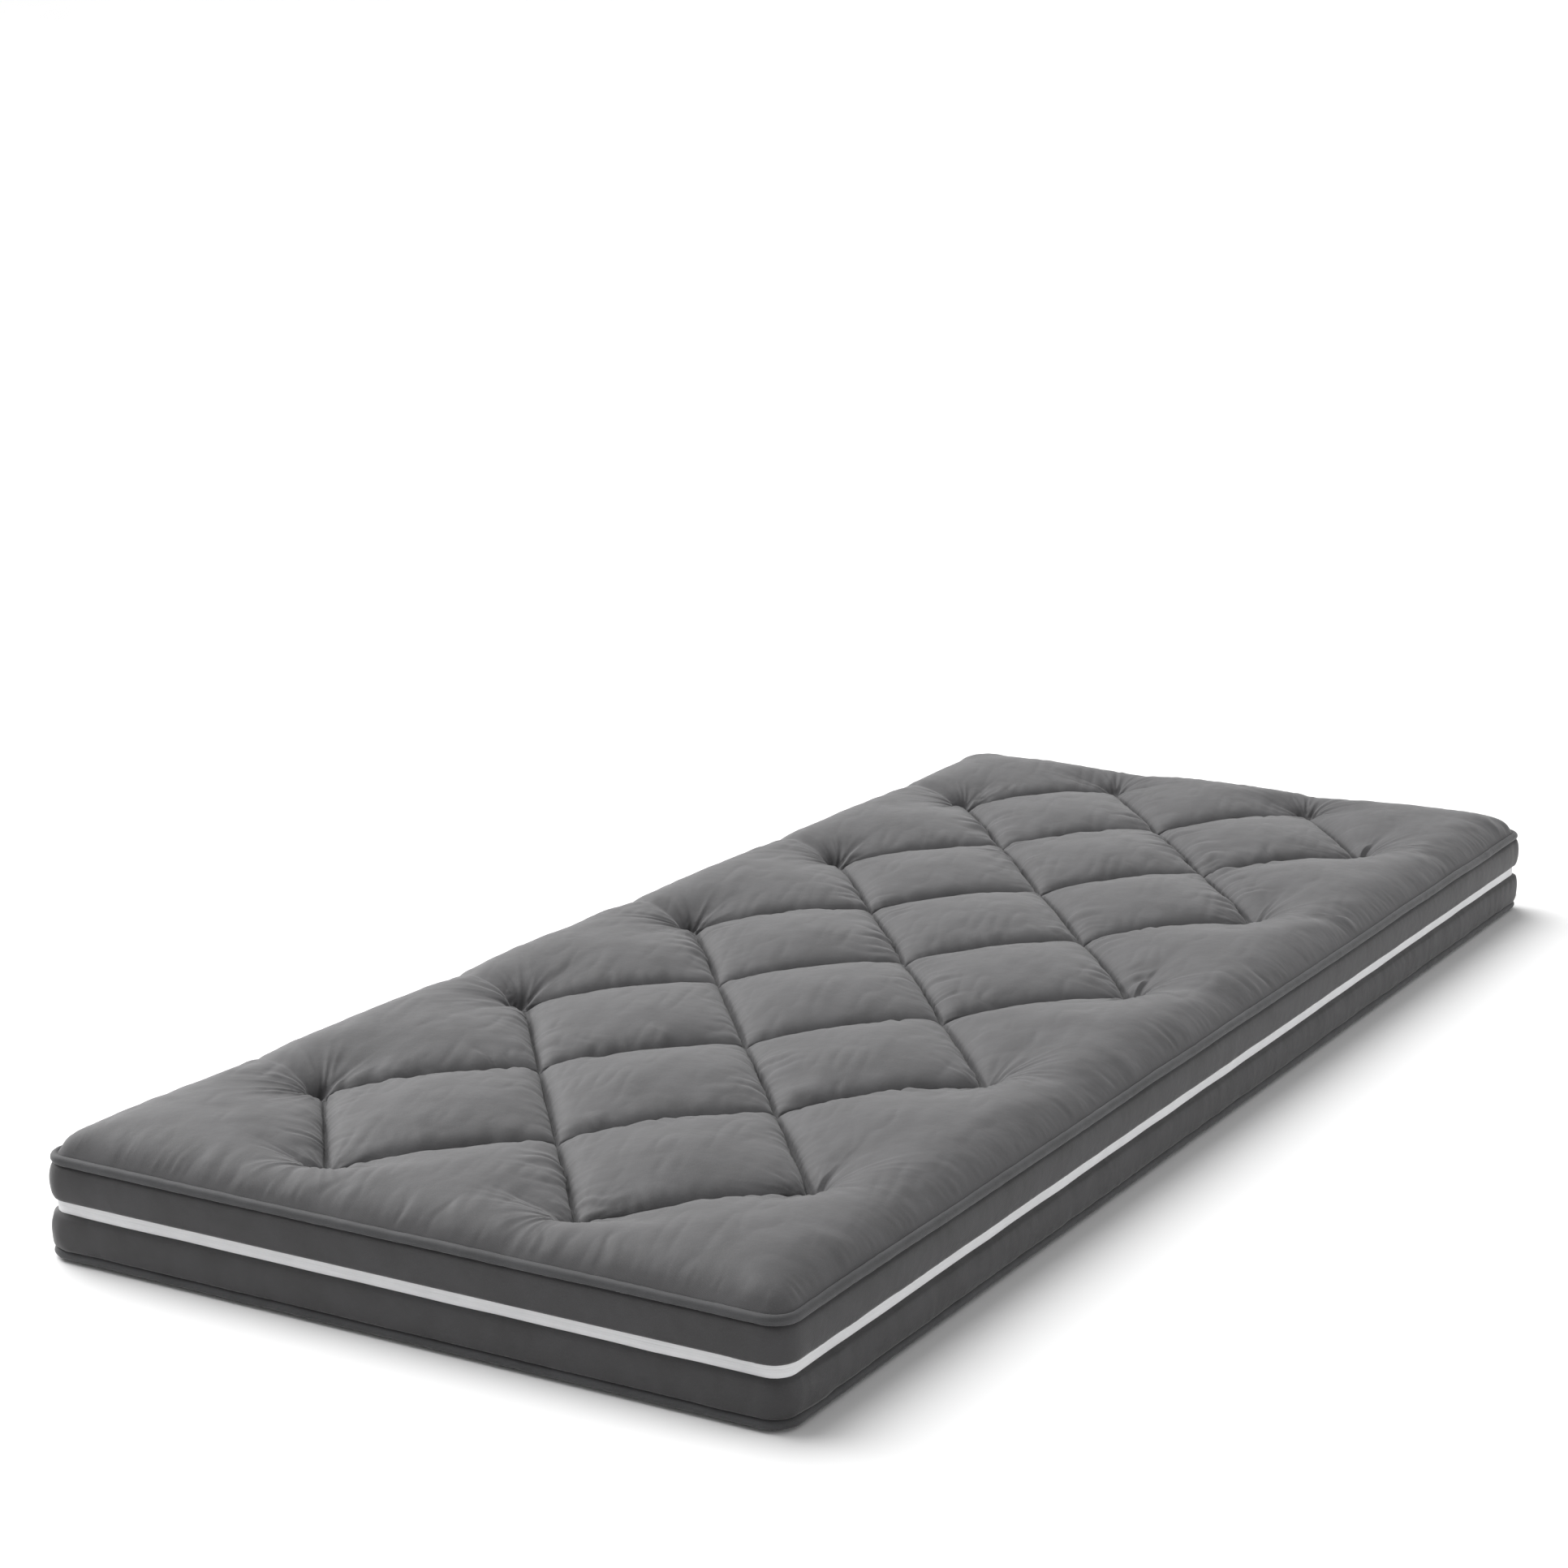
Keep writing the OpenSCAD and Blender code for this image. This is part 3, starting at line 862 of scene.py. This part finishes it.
def moulded():
    paint = Paint("buckle_black", 0.42, specular=0.5)
    colour = paint.ramp(paint.cloud(60, 3), (0.010, 0.010, 0.011), (0.018, 0.018, 0.019))
    paint.bump(paint.cloud(2600, 2), 0.00015, 0.5)
    paint.bump(paint.cloud(220, 2), 0.0003, 0.2)
    return paint.colour(colour)


def enamel():
    paint = Paint("enamel_white", 0.28)
    paint.shader.inputs["Coat Weight"].default_value = 0.4
    colour = paint.ramp(paint.cloud(120, 3), (0.68, 0.68, 0.68), (0.76, 0.76, 0.76))
    paint.bump(paint.cloud(900, 2), 0.0001, 0.3)
    return paint.colour(colour)


def thread():
    paint = Paint("thread_grey", 0.45, sheen=0.2)
    colour = paint.ramp(paint.cloud(800, 2), (0.035, 0.035, 0.037), (0.06, 0.06, 0.063))
    paint.bump(paint.bands(0.0005, "DIAGONAL"), 0.0001, 0.5)
    return paint.colour(colour)


def foam():
    paint = Paint("foam_cream", 0.9)
    cells = paint.node("ShaderNodeTexVoronoi", Scale=650)
    paint.link(paint.place, cells.inputs["Vector"])
    colour = paint.ramp(paint.cloud(40, 3), (0.74, 0.68, 0.52), (0.83, 0.78, 0.63))
    paint.bump(cells.outputs["Distance"], 0.0006, 0.8)
    return paint.colour(colour)


# ---- the scene ----

def aim(thing, place, target):
    thing.location = place
    thing.rotation_euler = (Vector(place) - Vector(target)).to_track_quat("Z", "Y").to_euler()


def add_camera():
    data = bpy.data.cameras.new("camera")
    data.lens = 75.4
    data.sensor_width = 36
    data.clip_end = 200
    camera = bpy.data.objects.new("camera", data)
    bpy.context.scene.collection.objects.link(camera)
    around = math.radians(-59.87)
    above = math.radians(13.16)
    back = Vector((math.sin(around) * math.cos(above), -math.cos(around) * math.cos(above), math.sin(above)))
    place = Vector((-3.093, -1.6415, 1.1264))
    aim(camera, place, place - back)
    bpy.context.scene.camera = camera


def add_light(name, place, target, size, power):
    data = bpy.data.lights.new(name, "AREA")
    data.shape = "RECTANGLE"
    data.size = size[0]
    data.size_y = size[1]
    data.energy = power
    light = bpy.data.objects.new(name, data)
    bpy.context.scene.collection.objects.link(light)
    aim(light, place, target)


def add_studio():
    sun = bpy.data.lights.new("sky", "SUN")
    sun.energy = 3.2
    sun.angle = math.radians(55)
    sky = bpy.data.objects.new("sky", sun)
    bpy.context.scene.collection.objects.link(sky)
    aim(sky, (0.3, 1.1, 1.6), (0, 0, 0))
    add_light("back_left", (0.4, 3.6, 1.5), (0, 0, 0.1), (3.4, 1.2), 70)
    add_light("front_right", (1.2, -3.4, 0.9), (0, -0.3, 0.05), (2.6, 0.8), 16)
    world = bpy.data.worlds.new("studio")
    world.use_nodes = True
    world.node_tree.nodes["Background"].inputs["Color"].default_value = (1, 1, 1, 1)
    world.node_tree.nodes["Background"].inputs["Strength"].default_value = 0.40
    bpy.context.scene.world = world
    bpy.context.scene.view_settings.view_transform = "Standard"
    paint = Paint("floor_white", 0.9, specular=0.1)
    floor_material = paint.colour(paint.ramp(paint.cloud(2, 2), (0.93, 0.93, 0.93), (0.95, 0.95, 0.95)))
    turn = np.linspace(0, 2 * math.pi, 97)[:-1]
    reach = np.array([0.01, 4.0, 9.0, 14.0, 16.0, 18.0, 20.0, 24.0, 32.0])
    rise = np.array([0.0, 0.0, 0.0, 0.0, 0.15, 0.5, 1.1, 2.6, 5.6])
    x = reach[None, :] * np.cos(turn)[:, None]
    y = reach[None, :] * np.sin(turn)[:, None]
    bowl = np.stack([x, y, np.broadcast_to(rise, x.shape)], -1).reshape(-1, 3)
    floor = make_mesh("floor", bowl, grid_faces(96, 9, True)[:, ::-1], floor_material)


def paint_node(name, material):
    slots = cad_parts[name].material_slots
    for slot in slots:
        slot.material = material


cover = cover_cloth("cover_charcoal", (0.070, 0.069, 0.071), (0.084, 0.083, 0.086), True)
# painted shade: the side band uses a darker copy of the cover fabric, standing in for the shade on the sides
side_cloth_shaded = cover_cloth("side_charcoal_painted_shade", (0.042, 0.041, 0.042), (0.050, 0.049, 0.051), False)
# painted shade: the self-fabric piping uses a darker copy of the cover fabric, standing in for the shade
# along the piping
piping_cloth_shaded = cover_cloth("piping_charcoal_painted_shade", (0.052, 0.052, 0.054), (0.064, 0.064, 0.067), False)
webbing_black = webbing()
buckle_black = moulded()
enamel_white = enamel()
thread_grey = thread()

add_camera()
add_studio()
make_quilt_thread(make_quilt(cover), thread_grey)
make_underside(cover)
make_side(side_cloth_shaded)
make_piping(piping_cloth_shaded)
make_zip(zip_cloth())
make_foam(foam())
for side in "ab":
    for part in ("buckle_socket", "buckle_plug", "strap_adjuster"):
        paint_node(f"{part}_{side}", buckle_black)
make_straps(webbing_black)
make_handle(webbing_black)
make_box_stitches(thread_grey)
paint_node("zip_slider", enamel_white)
paint_node("zip_pull", enamel_white)
